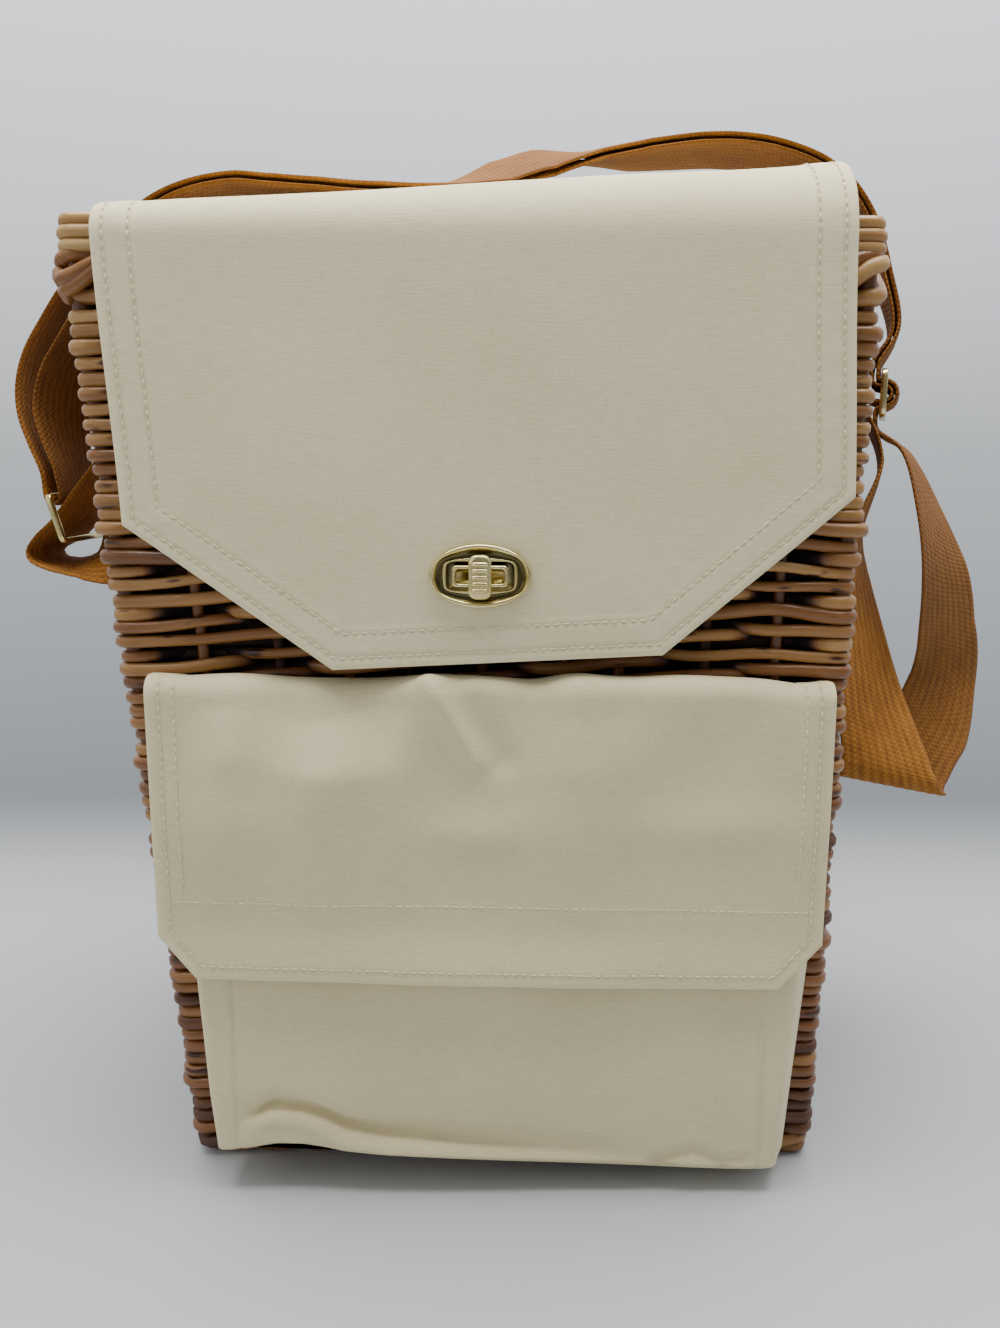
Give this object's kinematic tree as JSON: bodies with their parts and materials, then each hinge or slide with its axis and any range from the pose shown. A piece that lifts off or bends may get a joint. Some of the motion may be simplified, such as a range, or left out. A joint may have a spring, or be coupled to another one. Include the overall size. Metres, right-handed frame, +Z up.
{
  "type": "wicker picnic basket with a shoulder strap",
  "caption": "Tall wicker picnic basket with a canvas lid flap held by a brass turn lock, a canvas front pocket under its own flap and a webbing shoulder strap.",
  "frame": {"origin": "on the floor, under the middle of the foot", "axes": "+Z up, the lid's front and the pocket face -Y, the strap's slack loop hangs on the +X side"},
  "size_m": [0.4107, 0.2085, 0.4005],
  "materials": {
    "wicker": "steamed brown willow rods with a light varnish",
    "canvas": "cream cotton canvas, matt, with a fine plain weave",
    "webbing": "caramel cotton webbing, ribbed lengthwise",
    "brass": "polished pale brass"
  },
  "bodies": {
    "basket": {"basket_wall": "wicker", "base_panel": "wicker", "foot_border": "wicker", "rim_border": "wicker", "lid_flap": "canvas", "pocket_bag": "canvas", "pocket_flap": "canvas", "lock_plate": "brass", "lock_base": "brass", "shoulder_strap": "webbing", "ring_tab": "webbing", "strap_ring": "brass", "strap_slider": "brass"},
    "button": {"turn_button": "brass"}
  },
  "joints": [
    {"name": "button_turn", "type": "hinge", "parent": "basket", "child": "button", "pos_m": [-0.0089, -0.1052, 0.2363], "axis": [0, -1, 0], "range_deg": [0, 90]}
  ]
}
